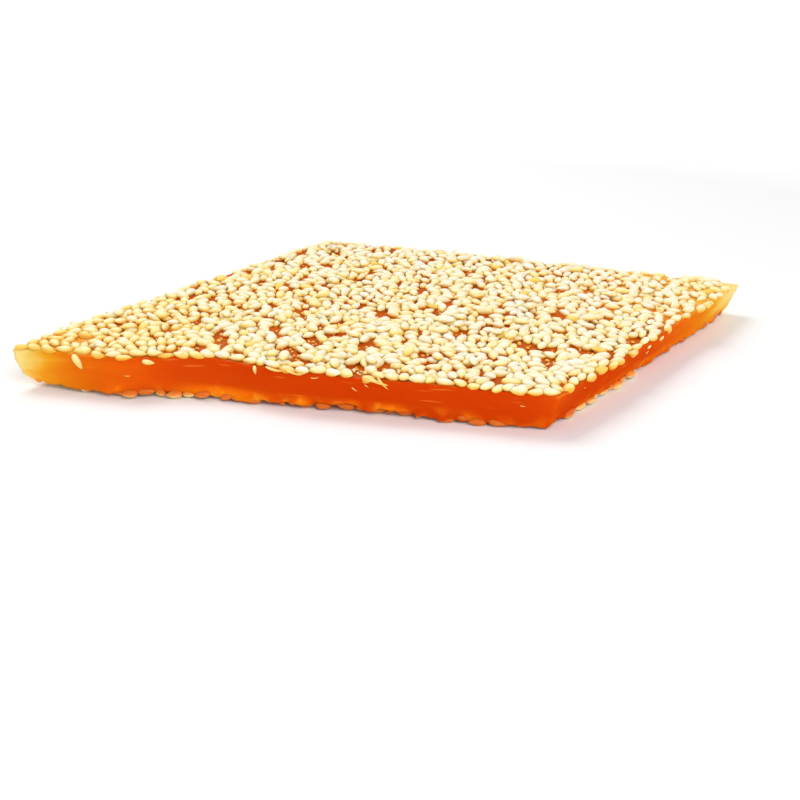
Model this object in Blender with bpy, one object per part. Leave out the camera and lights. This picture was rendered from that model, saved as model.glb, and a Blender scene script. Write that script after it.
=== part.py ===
"""A flat, four-cornered piece of sesame candy: a sheet of clear amber candy between two coats of sesame.

Metres, +Z up. The origin is at the middle of the piece's plan, on the surface it rests on, and +X runs
along its long diagonal. Seen from -Y, its cut front runs from the left tip down to the front corner.
"""

from math import exp, pi, radians, sin

import bmesh
import bpy
from mathutils import Vector, noise

# Plan of the amber sheet, corner by corner.
LEFT_TIP = Vector((-0.0774, -0.0262))
FRONT_CORNER = Vector((0.0273, -0.0485))
RIGHT_TIP = Vector((0.0768, 0.0164))
BACK_CORNER = Vector((-0.0203, 0.0491))
PLAN_MIDDLE = (LEFT_TIP + FRONT_CORNER + RIGHT_TIP + BACK_CORNER) / 4

# Heights of the layers. The sheet is thicker towards the left tip.
BOTTOM_COAT = 0.00095
TOP_COAT = 0.00130
LAYER_GAP = 0.0003
SHEET_TOP = 0.0075
WEDGE_RISE = 0.0004
SHEET_SWELL = 0.00012

# Each side: how far its middle bows out, how far its foot lies inside its head, and how far it wavers.
SIDES = {
    "front": {"bow": -0.0004, "undercut": 0.0, "waver": 0.00035},
    "right": {"bow": 0.0003, "undercut": 0.0024, "waver": 0.00040},
    "back": {"bow": 0.0005, "undercut": 0.0012, "waver": 0.00045},
    "left": {"bow": 0.0006, "undercut": 0.0016, "waver": 0.00050},
}
WAVER_LENGTH = 0.017

# How the cut waves along the front: a shallow hollow, deeper at the head than at the foot, and a slight
# swell beside it. Place and width are shares of the front, and depths are inwards.
FRONT_WAVES = (
    {"place": 0.36, "width": 0.115, "head": 0.0031, "foot": 0.0012},
    {"place": 0.20, "width": 0.075, "head": -0.0012, "foot": -0.0015},
)

# Each corner: how far its head and its foot are worn back, and over what distance. From head to foot
# the wear grows with a power of the depth, so a worn tip is round from below.
WEAR_POWER = 4
CORNERS = (
    {"at": LEFT_TIP, "head": 0.0002, "foot": 0.0034, "reach": 0.0065},
    {"at": FRONT_CORNER, "head": 0.0002, "foot": 0.0001, "reach": 0.0030},
    {"at": RIGHT_TIP, "head": 0.0001, "foot": 0.0014, "reach": 0.0060},
    {"at": BACK_CORNER, "head": 0.0009, "foot": 0.0014, "reach": 0.0040},
)

# The underside rises towards the left tip, where the sheet is thin and the bottom coat ends early.
TIP_LIFT = 0.0007
TIP_LIFT_REACH = 0.022

# The coats: their edge lies a little inside the cut. The right tip of the sheet is left bare on top,
# and the left tip below.
COAT_INSET = 0.0003
COAT_EDGE_WAVER = 0.00045
COAT_EDGE_PITCH = 0.0031
COAT_RELIEF = 0.00034
SEED_PITCH = 0.0027
BARE_TIP = 0.0040
BARE_TIP_REACH = 0.0060

SHEET_CUTS = (26, 20, 6)
COAT_CUTS = (36, 28, 1)


def sliced_block(cuts):
    """A unit block from 0 to 1 on each axis, sliced into equal cells."""
    shape = bmesh.new()
    bmesh.ops.create_cube(shape, size=1.0)
    bmesh.ops.translate(shape, verts=shape.verts, vec=(0.5, 0.5, 0.5))
    for axis, count in enumerate(cuts):
        normal = Vector([float(axis == k) for k in range(3)])
        for step in range(1, count):
            everything = shape.verts[:] + shape.edges[:] + shape.faces[:]
            bmesh.ops.bisect_plane(shape, geom=everything, plane_co=normal * step / count, plane_no=normal)
    return shape


def outward(start, end):
    """The unit normal to the right of the way from start to end."""
    along = (end - start).normalized()
    return Vector((along.y, -along.x))


def side_offset(side, along, height, seed):
    """How far a side's face lies outside the straight line between its corners."""
    envelope = sin(pi * along)
    wave = noise.noise(Vector((along * 0.1 / WAVER_LENGTH, height * 0.5, seed)))
    offset = side["bow"] * envelope + side["waver"] * wave * min(1.0, 4 * envelope)
    return offset - side["undercut"] * (1.0 - height)


def front_depth(along, height):
    """How far the front lies inwards of its straight line."""
    depth = 0.0
    for wave in FRONT_WAVES:
        deepest = wave["foot"] + (wave["head"] - wave["foot"]) * height
        depth += deepest * exp(-(((along - wave["place"]) / wave["width"]) ** 2))
    return depth


def plan_point(u, v, height):
    """Where the sheet's (u, v) lies in plan, at a height from 0 at its foot to 1 at its head.

    u runs from the left side to the right side, and v from the front to the back.
    """
    near = LEFT_TIP.lerp(FRONT_CORNER, u)
    far = BACK_CORNER.lerp(RIGHT_TIP, u)
    point = near.lerp(far, v)
    front = side_offset(SIDES["front"], u, height, 1.0) - front_depth(u, height)
    back = side_offset(SIDES["back"], u, height, 2.0)
    left = side_offset(SIDES["left"], v, height, 3.0)
    right = side_offset(SIDES["right"], v, height, 4.0)
    point = point + outward(LEFT_TIP, FRONT_CORNER) * front * (1 - v)
    point = point + outward(RIGHT_TIP, BACK_CORNER) * back * v
    point = point + outward(BACK_CORNER, LEFT_TIP) * left * (1 - u)
    point = point + outward(FRONT_CORNER, RIGHT_TIP) * right * u
    return worn_back(point, height)


def worn_back(point, height):
    """The point drawn in towards the middle where a corner is worn."""
    for corner in CORNERS:
        near = exp(-(((point - corner["at"]).length / corner["reach"]) ** 2))
        deep = (1.0 - height) ** WEAR_POWER
        amount = corner["head"] + (corner["foot"] - corner["head"]) * deep
        point = point + (PLAN_MIDDLE - corner["at"]).normalized() * amount * near
    return point


def sheet_top(point):
    """The height of the candy's upper face over a point in plan."""
    swell = noise.noise(Vector((point.x, point.y, 0.0)) / 0.030)
    return SHEET_TOP - WEDGE_RISE * point.x / RIGHT_TIP.x + SHEET_SWELL * swell


def tip_lift(point):
    """How far the underside lies above the resting plane over a point in plan, flat beyond its reach."""
    near = max(0.0, 1.0 - ((point - LEFT_TIP).length / TIP_LIFT_REACH) ** 2)
    return TIP_LIFT * near**2


def amber_place(u, v, w):
    point = plan_point(u, v, w)
    foot = BOTTOM_COAT + LAYER_GAP + tip_lift(point)
    height = foot + (sheet_top(point) - LAYER_GAP - foot) * w
    return point.x, point.y, height


def coat_plan(u, v, height, seed, bare_tip):
    """A coat's (u, v) in plan: inside the cut, uneven from seed to seed, clear of the bare tip."""
    point = plan_point(u, v, height)
    inward = (PLAN_MIDDLE - point).normalized()
    rim = max(abs(2 * u - 1), abs(2 * v - 1)) ** 12
    uneven = noise.noise(Vector((point.x, point.y, seed)) / COAT_EDGE_PITCH)
    point = point + inward * rim * (COAT_INSET + COAT_EDGE_WAVER * (1 + uneven))
    bare = exp(-(((point - bare_tip).length / BARE_TIP_REACH) ** 2))
    return point + (PLAN_MIDDLE - bare_tip).normalized() * BARE_TIP * bare


def top_coat_place(u, v, w):
    point = coat_plan(u, v, 1.0, 0.0, RIGHT_TIP)
    bump = COAT_RELIEF * noise.noise(Vector((point.x, point.y, 0.05)) / SEED_PITCH)
    return point.x, point.y, sheet_top(point) + (TOP_COAT + bump) * w


def bottom_coat_place(u, v, w):
    point = coat_plan(u, v, 0.0, 0.02, LEFT_TIP)
    return point.x, point.y, tip_lift(point) + BOTTOM_COAT * w


def finish(name, base_colour, roughness):
    material = bpy.data.materials.new(name)
    material.use_nodes = True
    shader = material.node_tree.nodes["Principled BSDF"]
    shader.inputs["Base Color"].default_value = (*base_colour, 1.0)
    shader.inputs["Roughness"].default_value = roughness
    shader.inputs["Metallic"].default_value = 0.0
    material.diffuse_color = (*base_colour, 1.0)
    return material


def layer(name, cuts, place, material, collection):
    """One layer: a sliced block whose points are put in place by a function."""
    shape = sliced_block(cuts)
    for vert in shape.verts:
        vert.co = place(*vert.co)
    bmesh.ops.recalc_face_normals(shape, faces=shape.faces)
    mesh = bpy.data.meshes.new(name)
    shape.to_mesh(mesh)
    shape.free()
    mesh.shade_smooth()
    mesh.set_sharp_from_angle(angle=radians(35))
    mesh.materials.append(material)
    piece = bpy.data.objects.new(name, mesh)
    collection.objects.link(piece)
    return piece


def main():
    for old in list(bpy.data.objects):
        bpy.data.objects.remove(old, do_unlink=True)
    collection = bpy.data.collections.new("sesame_candy")
    bpy.context.scene.collection.children.link(collection)
    amber = finish("amber_candy", (0.60, 0.085, 0.006), 0.22)
    sesame = finish("sesame", (0.88, 0.74, 0.46), 0.45)
    layer("amber_sheet", SHEET_CUTS, amber_place, amber, collection)
    layer("sesame_top", COAT_CUTS, top_coat_place, sesame, collection)
    layer("sesame_bottom", COAT_CUTS, bottom_coat_place, sesame, collection)


main()
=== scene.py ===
"""Looks of one four-cornered piece of sesame candy: a cut sheet of clear amber candy, and its sesame seeds.

Metres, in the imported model's frame: +Z up, +X along the long diagonal, the cut front towards -Y.
"""

from math import exp, pi, radians, sin

import bpy
import numpy as np
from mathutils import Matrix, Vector, kdtree, noise

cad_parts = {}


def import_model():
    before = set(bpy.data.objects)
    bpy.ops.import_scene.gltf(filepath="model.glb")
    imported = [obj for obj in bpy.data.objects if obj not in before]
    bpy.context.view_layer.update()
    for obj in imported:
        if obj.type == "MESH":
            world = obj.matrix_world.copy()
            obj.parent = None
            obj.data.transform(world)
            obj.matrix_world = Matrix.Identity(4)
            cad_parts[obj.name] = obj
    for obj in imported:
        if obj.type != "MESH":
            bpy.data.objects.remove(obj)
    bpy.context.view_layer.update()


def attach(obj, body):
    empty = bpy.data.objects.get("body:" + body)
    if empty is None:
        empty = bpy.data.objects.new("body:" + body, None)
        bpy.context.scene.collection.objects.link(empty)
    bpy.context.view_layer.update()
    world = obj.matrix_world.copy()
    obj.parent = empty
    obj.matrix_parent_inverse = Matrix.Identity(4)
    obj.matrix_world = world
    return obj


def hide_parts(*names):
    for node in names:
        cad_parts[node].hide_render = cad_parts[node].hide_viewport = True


# Plan of the amber sheet, as in the CAD model.
LEFT_TIP = Vector((-0.0774, -0.0262))
FRONT_CORNER = Vector((0.0273, -0.0485))
RIGHT_TIP = Vector((0.0768, 0.0164))
BACK_CORNER = Vector((-0.0203, 0.0491))
PLAN_MIDDLE = (LEFT_TIP + FRONT_CORNER + RIGHT_TIP + BACK_CORNER) / 4
SHEET_TOP = 0.0075
WEDGE_RISE = 0.0004
SHEET_SWELL = 0.00012
SWELL_LENGTH = 0.030
SIDES = {
    "front": {"bow": -0.0004, "undercut": 0.0, "waver": 0.00035},
    "right": {"bow": 0.0003, "undercut": 0.0024, "waver": 0.00040},
    "back": {"bow": 0.0005, "undercut": 0.0012, "waver": 0.00045},
    "left": {"bow": 0.0006, "undercut": 0.0016, "waver": 0.00050},
}
SIDE_SPAN = 0.1
WAVER_LENGTH = 0.017
WAVER_TWIST = 0.5
FRONT_WAVES = (
    {"place": 0.36, "width": 0.115, "head": 0.0031, "foot": 0.0012},
    {"place": 0.20, "width": 0.075, "head": -0.0012, "foot": -0.0015},
)
CORNERS = (
    {"at": LEFT_TIP, "head": 0.0002, "foot": 0.0034, "reach": 0.0065},
    {"at": FRONT_CORNER, "head": 0.0002, "foot": 0.0001, "reach": 0.0030},
    {"at": RIGHT_TIP, "head": 0.0001, "foot": 0.0014, "reach": 0.0060},
    {"at": BACK_CORNER, "head": 0.0009, "foot": 0.0014, "reach": 0.0040},
)
WEAR_POWER = 4
TIP_LIFT = 0.0007
TIP_LIFT_REACH = 0.022

# The amber sheet's mesh: cells along and across, and levels of its cut sides from foot to head.
SHEET_CELLS = (226, 178)
SHEET_FOOT = 0.00085
LOWEST = 0.00008
SIDE_LEVELS = 17
LEVEL_SPREAD = (0.62, 0.38)
EDGE_ROUND = 0.00030
# The sheet's rough length and width.
SHEET_SPAN = (0.090, 0.080)
# Relief of the cut sides: shallow streaks along the cut.
FACE_RELIEF = 0.00007
FACE_RELIEF_LENGTH = 0.0140
FACE_RELIEF_HEIGHT = 0.0035
# The uneven lip that hangs down along the foot.
LIP_DROP = 0.00040
LIP_WIDTH = 0.0019
LIP_LENGTH = 0.0026
# Means of its drop and rise, and how much of a noise is added.
LIP_UNEVEN = (0.9, 1.1)
RISE_UNEVEN = (0.9, 1.3)
FINE_LIP = {"share": 0.6, "scale": 2.6}
LOBE_DEPTH = 0.00042
LOBE_STRETCH = 0.3
LOBE_FADE = 3.4
FRONT_DROP = 0.00028
FRONT_DROP_REACH = 0.0060
# How much higher the lip ends along the front, by share of the front.
FRONT_RISE = ((0.12, 0.0), (0.20, 0.0005), (0.43, 0.0003), (0.50, 0.0009), (0.72, 0.0008), (0.79, 0.0001))
FRONT_RISE_DEPTH = 0.008
RISE_LENGTH = 0.0045
# How ragged the two pointed tips are.
TIP_RAG = 0.00034
TIP_RAG_LENGTH = 0.0013
TIP_RAG_REACH = 0.011
TIP_NOTCH = 0.0006
# A skin this many times the size of the bottom seeds draws the foot out round them.
WRAP = 1.10
WRAP_MOST = 0.0011
WRAP_HEIGHT = 0.0011
WRAP_FADE = 0.0006
WRAP_LENGTH = 0.0060
WRAP_CONTRAST = 2.2
# How far off such seeds may be, and how far outside the cut their skin may start.
WRAP_REACH = 0.0026
WRAP_GAP = 0.0003
# The upper face rises round the seeds sunk in it, and lies lower elsewhere.
MENISCUS = 0.00026
MENISCUS_WIDTH = 0.28
MENISCUS_SINK = 0.6
SAME_HEIGHT = 1e-5

# A hulled sesame seed.
SEED_LENGTH = 0.00342
LENGTH_SPREAD = 0.00022
LENGTH_LIMITS = (0.0029, 0.0039)
SEED_WIDTH = 0.585
SEED_THICKNESS = 0.42
SEED_TAPER = 0.30
SEED_POINT = 0.28
# How much seeds differ, as shares.
WIDTH_SPREAD = 0.06
THICK_SPREAD = 0.10
BEND_SPREAD = 0.03
SWAY_SPREAD = 0.05
# A shallow dent in a seed's upper side.
DENT_SPREAD = 0.10
DENT_LIMITS = (-0.06, 0.25)
DENT_PLACE = -0.1
DENT_WIDTH = 0.5
# Height above the candy up to which seeds wear a film of it, coloured as the candy film and as painted warm
# shade near the candy.
FILM_AND_SHADE_REACH = 0.00064
# How much higher it climbs on a fully soaked seed, as a share.
SOAKED_RISE = 0.6
# Height above the candy of most seeds' crowns; lower on a seed, its sides get painted golden shade.
CROWN_HEIGHT = 0.00105
# How a seed's painted golden side shade fades from its own foot to its top.
OWN_CROWN = 1.4
# Tone, from pale at 0 to toasted at 1, and its spread.
SEED_TONE = (0.28, 0.15)
# Corners round a seed's mesh, and rings along it.
FINE_SEED = (12, 8)
PLAIN_SEED = (10, 6)
CRUMB_MESH = (7, 4)


def ripple(x, y, z, length):
    """A smooth noise from about -1 to 1, whose waves have about this length."""
    return noise.noise(Vector((x, y, z)) / length)


def outward(start, end):
    """The unit normal to the right of the way from start to end."""
    along = (end - start).normalized()
    return Vector((along.y, -along.x))


def side_offset(side, along, height, seed):
    """How far a side's face lies outside the straight line between its corners."""
    envelope = sin(pi * along)
    wave = noise.noise(Vector((along * SIDE_SPAN / WAVER_LENGTH, height * WAVER_TWIST, seed)))
    offset = side["bow"] * envelope + side["waver"] * wave * min(1.0, 4 * envelope)
    return offset - side["undercut"] * (1.0 - height)


def front_depth(along, height):
    """How far the front lies inwards of its straight line."""
    depth = 0.0
    for wave in FRONT_WAVES:
        deepest = wave["foot"] + (wave["head"] - wave["foot"]) * height
        depth += deepest * exp(-(((along - wave["place"]) / wave["width"]) ** 2))
    return depth


def side_ends(ring):
    """The two ends of each side, from a ring of four."""
    return dict(zip(SIDES, zip(ring, ring[1:] + ring[:1])))


PLAN_RING = (LEFT_TIP, FRONT_CORNER, RIGHT_TIP, BACK_CORNER)
NORMALS = {side: outward(*ends) for side, ends in side_ends(PLAN_RING).items()}


def plan_point(u, v, height):
    """Where the sheet's (u, v) lies in plan, at a height from 0 at its foot to 1 at its head."""
    point = LEFT_TIP.lerp(FRONT_CORNER, u).lerp(BACK_CORNER.lerp(RIGHT_TIP, u), v)
    front = side_offset(SIDES["front"], u, height, 1.0) - front_depth(u, height)
    back = side_offset(SIDES["back"], u, height, 2.0)
    left = side_offset(SIDES["left"], v, height, 3.0)
    right = side_offset(SIDES["right"], v, height, 4.0)
    point = point + NORMALS["front"] * front * (1 - v) + NORMALS["back"] * back * v
    point = point + NORMALS["left"] * left * (1 - u) + NORMALS["right"] * right * u
    for corner in CORNERS:
        near = exp(-(((point - corner["at"]).length / corner["reach"]) ** 2))
        deep = (1.0 - height) ** WEAR_POWER
        amount = corner["head"] + (corner["foot"] - corner["head"]) * deep
        point = point + (PLAN_MIDDLE - corner["at"]).normalized() * amount * near
    return point


def sheet_top(x, y):
    """The height of the candy's upper face over a point in plan."""
    return SHEET_TOP - WEDGE_RISE * x / RIGHT_TIP.x + SHEET_SWELL * ripple(x, y, 0.0, SWELL_LENGTH)


def tip_lift(x, y):
    """How far the underside lies above the resting plane over a point in plan."""
    near = max(0.0, 1.0 - ((Vector((x, y)) - LEFT_TIP).length / TIP_LIFT_REACH) ** 2)
    return TIP_LIFT * near**2


def outline(height, steps=64):
    """The sheet's outline in plan at a height, anticlockwise from the left tip."""
    shares = [k / steps for k in range(steps)]
    rim = [(share, 0.0) for share in shares] + [(1.0, share) for share in shares]
    rim += [(1.0 - share, 1.0) for share in shares] + [(0.0, 1.0 - share) for share in shares]
    return np.array([plan_point(u, v, height)[:] for u, v in rim])


def put(name, data, place=(0.0, 0.0, 0.0)):
    """Adds an object to the scene."""
    thing = bpy.data.objects.new(name, data)
    thing.location = place
    bpy.context.scene.collection.objects.link(thing)
    return thing


def mesh_piece(name, points, faces, attributes):
    """A smooth mesh object from arrays. faces is a list of arrays, each of faces with as many corners."""
    mesh = bpy.data.meshes.new(name)
    mesh.vertices.add(len(points))
    mesh.vertices.foreach_set("co", np.ascontiguousarray(points, np.float32).ravel())
    corners = np.concatenate([group.ravel() for group in faces]).astype(np.int32)
    sizes = np.concatenate([np.full(len(group), group.shape[1]) for group in faces])
    starts = np.concatenate([[0], np.cumsum(sizes)[:-1]]).astype(np.int32)
    mesh.loops.add(len(corners))
    mesh.loops.foreach_set("vertex_index", corners)
    mesh.polygons.add(len(sizes))
    mesh.polygons.foreach_set("loop_start", starts)
    mesh.update(calc_edges=True)
    mesh.validate()
    mesh.shade_smooth()
    for key, values in attributes.items():
        attribute = mesh.attributes.new(key, "FLOAT", "POINT")
        attribute.data.foreach_set("value", np.ascontiguousarray(values, np.float32))
    return put(name, mesh)


# ---- seeds: where they lie


def inside_distance(points, ring):
    """Signed distance of points (n, 2) to the ring, positive inside, and the unit way inwards."""
    along = np.roll(ring, -1, axis=0) - ring
    rel = points[:, None, :] - ring[None]
    t = np.clip((rel * along).sum(-1) / (along**2).sum(-1), 0, 1)
    gap = rel - t[..., None] * along
    squared = (gap**2).sum(-1)
    best = squared.argmin(1)
    rows = np.arange(len(points))
    normal = np.stack([-along[:, 1], along[:, 0]], 1)
    normal /= np.linalg.norm(normal, axis=1)[:, None]
    inward = normal[best]
    sign = np.sign((gap[rows, best] * inward).sum(1))
    return sign * np.sqrt(squared[rows, best]), inward


# Discs that stand for a seed while it is packed: place and radius, in shares of its length.
SEED_DISCS = ((-0.24, 0.245), (0.02, 0.285), (0.29, 0.175))
PACK_STEPS = 150
PACK_SHRINK = 0.99
PACK_JITTER = 0.30
ROW_SHARE = 0.866
# Every few steps, seeds within this many seed lengths are paired anew.
PAIR_STEPS = 6
PAIR_REACH = 1.35
# How far a push moves and turns a seed in one step, and the most it turns.
PACK_PACE = 0.42
PACK_SPIN = 0.9
PACK_INERTIA = 0.12
MOST_SPIN = 0.35
MOST_LIFT = 0.0008
TINY = 1e-9
# Seeds this near to the edge are drawn to it.
EDGE_PULL_REACH = 0.0010
# The most that a bare spot pushes a seed in one step.
SPOT_PUSH = 0.00012


def pack_seeds(ring, count, rng, bare_spots, overhang, pull):
    """Places about count seeds on a shaken grid inside the ring and lets them push each other apart.

    overhang is the least and the most that a seed may stand out, and pull how hard the ring draws seeds.
    """
    low, high = ring.min(0), ring.max(0)
    following = np.roll(ring, -1, axis=0)
    area = abs((ring[:, 0] * following[:, 1] - ring[:, 1] * following[:, 0]).sum()) / 2
    pitch = (area / count / ROW_SHARE) ** 0.5
    rows = np.arange(low[1], high[1], ROW_SHARE * pitch)
    columns = np.arange(low[0], high[0], pitch)
    grid = [(x + pitch / 2 * (k % 2), y) for k, y in enumerate(rows) for x in columns]
    grid = np.array(grid) + rng.normal(0, PACK_JITTER * pitch, (len(grid), 2))
    depth, _ = inside_distance(grid, ring)
    centre = grid[depth > 0]
    count = len(centre)
    angle = rng.uniform(0, 2 * pi, count)
    length = np.clip(rng.normal(SEED_LENGTH, LENGTH_SPREAD, count), *LENGTH_LIMITS)
    place, size = np.array(SEED_DISCS).T
    radius = length[:, None] * size * PACK_SHRINK
    reach = rng.uniform(*overhang, count)
    spots = np.array(bare_spots)
    for step in range(PACK_STEPS):
        if step % PAIR_STEPS == 0:
            far = ((centre[:, None] - centre[None]) ** 2).sum(-1)
            first, second = np.nonzero(np.triu(far < (PAIR_REACH * SEED_LENGTH) ** 2, 1))
        way = np.stack([np.cos(angle), np.sin(angle)], 1)
        arm = (length[:, None] * place)[..., None] * way[:, None]
        disc = centre[:, None] + arm
        gap = disc[first][:, :, None] - disc[second][:, None]
        distance = np.sqrt((gap**2).sum(-1)) + TINY
        overlap = np.clip(radius[first][:, :, None] + radius[second][:, None] - distance, 0, None)
        push = gap * (0.5 * overlap / distance)[..., None]
        force = np.zeros_like(disc)
        np.add.at(force, first, push.sum(2))
        np.add.at(force, second, -push.sum(1))
        depth, inward = inside_distance(disc.reshape(-1, 2), ring)
        lack = (radius - reach[:, None]).ravel() - depth
        lack = np.where(lack > 0, lack, pull * lack * (lack > -EDGE_PULL_REACH))
        force += (inward * lack[:, None]).reshape(force.shape)
        gap = disc[:, :, None] - spots[:, :2]
        distance = np.sqrt((gap**2).sum(-1)) + TINY
        lack = np.clip(radius[..., None] + spots[:, 2] - distance, 0, SPOT_PUSH)
        force += (gap * (lack / distance)[..., None]).sum(2)
        torque = (arm[..., 0] * force[..., 1] - arm[..., 1] * force[..., 0]).sum(1)
        centre = centre + PACK_PACE * force.sum(1)
        angle = angle + np.clip(PACK_SPIN * torque / (PACK_INERTIA * length**2), -MOST_SPIN, MOST_SPIN)
    lift = np.zeros(count)
    order = rng.permutation(count)
    upper = np.where(order[first] > order[second], first, second)
    np.add.at(lift, upper, overlap.max((1, 2)))
    return {"centre": centre, "angle": angle, "length": length, "lift": np.clip(lift, 0, MOST_LIFT)}


# ---- seeds: their shape


def seed_form(segments, rings):
    """A unit seed, blunt at -x and pointed at +x, and its faces."""
    along = -np.cos(np.linspace(0, pi, rings + 2))[1:-1]
    power = 0.5 + SEED_POINT * np.clip(along, 0, None)
    girth = (1 - along**2) ** power * (1 - SEED_TAPER * along)
    girth /= girth.max()
    turn = np.linspace(0, 2 * pi, segments, endpoint=False)
    ring = np.stack([np.cos(turn), np.sin(turn)], 1)
    body = np.zeros((rings, segments, 3))
    body[..., 0] = along[:, None]
    body[..., 1:] = girth[:, None, None] * ring
    points = np.concatenate([[[-1, 0, 0]], body.reshape(-1, 3), [[1, 0, 0]]])
    index = 1 + np.arange(rings * segments).reshape(rings, segments)
    near, far = index[:-1], index[1:]
    cells = np.stack([near, np.roll(near, -1, 1), np.roll(far, -1, 1), far], -1)
    quads = cells.reshape(-1, 4)[:, ::-1]
    first, last = index[0], index[-1]
    start = np.stack([np.zeros_like(first), np.roll(first, -1), first], -1)[:, ::-1]
    end = np.stack([np.full_like(last, len(points) - 1), last, np.roll(last, -1)], -1)[:, ::-1]
    return points, quads, np.concatenate([start, end])


def turned(points, angle, axis):
    """Points (n, m, 3) turned by an angle for each n about a row axis."""
    a, b = [(1, 2), (2, 0), (0, 1)][axis]
    result = points.copy()
    c, s = np.cos(angle)[:, None], np.sin(angle)[:, None]
    result[..., a] = c * points[..., a] - s * points[..., b]
    result[..., b] = s * points[..., a] + c * points[..., b]
    return result


def seed_rows(at, angle, rng, **given):
    """Rows for many seeds: where each lies, how it is turned, its shape and its tone.

    ground is the height of the candy under a seed, facing is 1 on the upper face and -1 on the under one,
    and soak is how much higher than elsewhere its film of candy, with its painted warm shade, climbs.
    """
    count = len(at)
    rows = {
        "angle": angle,
        "length": np.clip(rng.normal(SEED_LENGTH, LENGTH_SPREAD, count), *LENGTH_LIMITS),
        "width": SEED_WIDTH * rng.normal(1, WIDTH_SPREAD, count),
        "thick": SEED_THICKNESS * rng.normal(1, THICK_SPREAD, count),
        "bend": rng.normal(0, BEND_SPREAD, count),
        "roll": 0.0,
        "pitch": 0.0,
        "ground": -1.0,
        "facing": 1.0,
        "soak": 0.0,
        "tone": np.clip(rng.normal(*SEED_TONE, count), 0, 1),
    }
    rows.update(given)
    return {"at": at, **{key: np.full(count, values, float) for key, values in rows.items()}}


def seed_piece(name, detail, seeds, rng):
    """One mesh of many seeds. film (the candy film and its painted warm shade) grows from 0 at the candy to 1
    clear of it, crown (less painted side shade) to 1 at a seed's top.
    """
    points, quads, tris = seed_form(*detail)
    count = len(seeds["length"])
    half = seeds["length"] / 2
    body = np.repeat(points[None], count, 0)
    along = body[..., 0].copy()
    dent = np.clip(rng.normal(0.0, DENT_SPREAD, count), *DENT_LIMITS)[:, None]
    body[..., 2] *= 1 - dent * np.exp(-(((along - DENT_PLACE) / DENT_WIDTH) ** 2)) * (body[..., 2] > 0)
    body *= np.stack([half, half * seeds["width"], half * seeds["thick"]], 1)[:, None]
    body[..., 1] += (rng.normal(0, SWAY_SPREAD, count) * half)[:, None] * along**2
    body[..., 2] += (seeds["bend"] * half)[:, None] * along**2
    for axis, key in enumerate(("roll", "pitch", "angle")):
        body = turned(body, seeds[key], axis)
    body += seeds["at"][:, None, :]
    body[..., 2] = np.clip(body[..., 2], SEED_FOOT, HIGHEST)
    above = (body[..., 2] - seeds["ground"][:, None]) * seeds["facing"][:, None]
    base = (np.arange(count) * len(points))[:, None, None]
    faces = [(quads[None] + base).reshape(-1, 4), (tris[None] + base).reshape(-1, 3)]
    own = body[..., 2] * seeds["facing"][:, None]
    low, high = own.min(1, keepdims=True), own.max(1, keepdims=True)
    own = ((own - low) / (high - low)) ** OWN_CROWN
    film_and_shade_reach = FILM_AND_SHADE_REACH * (1 + SOAKED_RISE * seeds["soak"][:, None])
    attributes = {
        "tone": np.repeat(seeds["tone"], len(points)),
        "along": along.ravel(),
        "film": np.clip(above / film_and_shade_reach, 0, 1).ravel(),
        "crown": np.clip(np.minimum(above / CROWN_HEIGHT, own), 0, 1).ravel(),
    }
    return mesh_piece(name, body.reshape(-1, 3), faces, attributes)


def chosen(seeds, mask):
    return {key: values[mask] for key, values in seeds.items()}


def joined(*groups):
    return {key: np.concatenate([g[key] for g in groups]) for key in groups[0]}


# ---- the coats


TOP_COUNT = 1285
BOTTOM_COUNT = 1360
BOTTOM_RISE = 0.00070
SEED_FOOT = 0.00002
HIGHEST = 0.0096
SEED_RISE = 0.00030
# Small places on top without seeds, in tenths of a millimetre: x, y and radius.
TENTHS = 10000
BARE_TENTHS = (
    (-256, -276, 13), (-232, -268, 17), (-218, -296, 16), (-210, -324, 12), (-193, -212, 13),
    (-181, -234, 16), (-156, -194, 14), (-266, -168, 13), (-276, -208, 14), (-249, -198, 11),
    (-380, -182, 12), (-369, -212, 15), (-365, -242, 14), (-409, -260, 16), (-442, -268, 11),
    (-330, -290, 14), (-310, -182, 9), (-176, -138, 12), (-146, -120, 9), (-233, -50, 14), (-216, -80, 9),
    (-122, -183, 17), (-80, -246, 20), (-98, -362, 17), (-88, -386, 15), (-43, -364, 16), (-24, -370, 13),
    (-49, -75, 16), (-30, -84, 12), (45, -26, 11), (69, -50, 12), (92, 0, 12), (122, -74, 11),
    (109, -172, 15), (17, -163, 10), (32, -298, 11), (63, -296, 11), (170, -139, 14), (189, -144, 11),
    (208, -71, 11), (239, -246, 20), (225, -220, 11), (281, -260, 15), (270, -315, 15), (270, -344, 10),
    (312, -170, 13), (330, -254, 12), (362, -278, 10), (452, -206, 15), (420, -16, 13), (410, 100, 12),
    (342, 88, 11), (-645, -224, 15), (-575, -131, 16), (-366, -12, 14), (-435, -118, 12), (-90, 160, 14),
    (-330, 140, 15), (150, 230, 13), (-240, 270, 12), (765, 162, 42),
)
BARE_SPOTS = tuple(tuple(measure / TENTHS for measure in spot) for spot in BARE_TENTHS)
# How far seeds stand out over the upper edge, and how the row along it is turned and lowered.
TOP_OVERHANG = (-0.0007, 0.0008)
EDGE_ROW = 0.0010
EDGE_ROLL = 2.0
EDGE_DROP = 0.0005
TOP_PULL = 0.15
TOP_ROLL = radians(12)
TOP_PITCH = radians(6)
TOP_TONE = (0.24, 0.09)
RISE_SPREAD = 0.00007
# How overlapping seeds are pitched and raised.
LIFT_PITCH = 260
LIFT_RISE = 0.5
# A few seeds stand on edge, and a few are toasted.
EDGEWISE_SHARE = 0.05
EDGEWISE_ROLL = radians(50)
EDGEWISE_RISE = 0.00018
TOASTED_SHARE = 0.02
TOASTED_TONE = (0.7, 0.95)
# Seeds near the left tip are the most soaked in candy.
SOAKED_REACH = 0.030
SOAKED_TONE = 0.36


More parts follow.
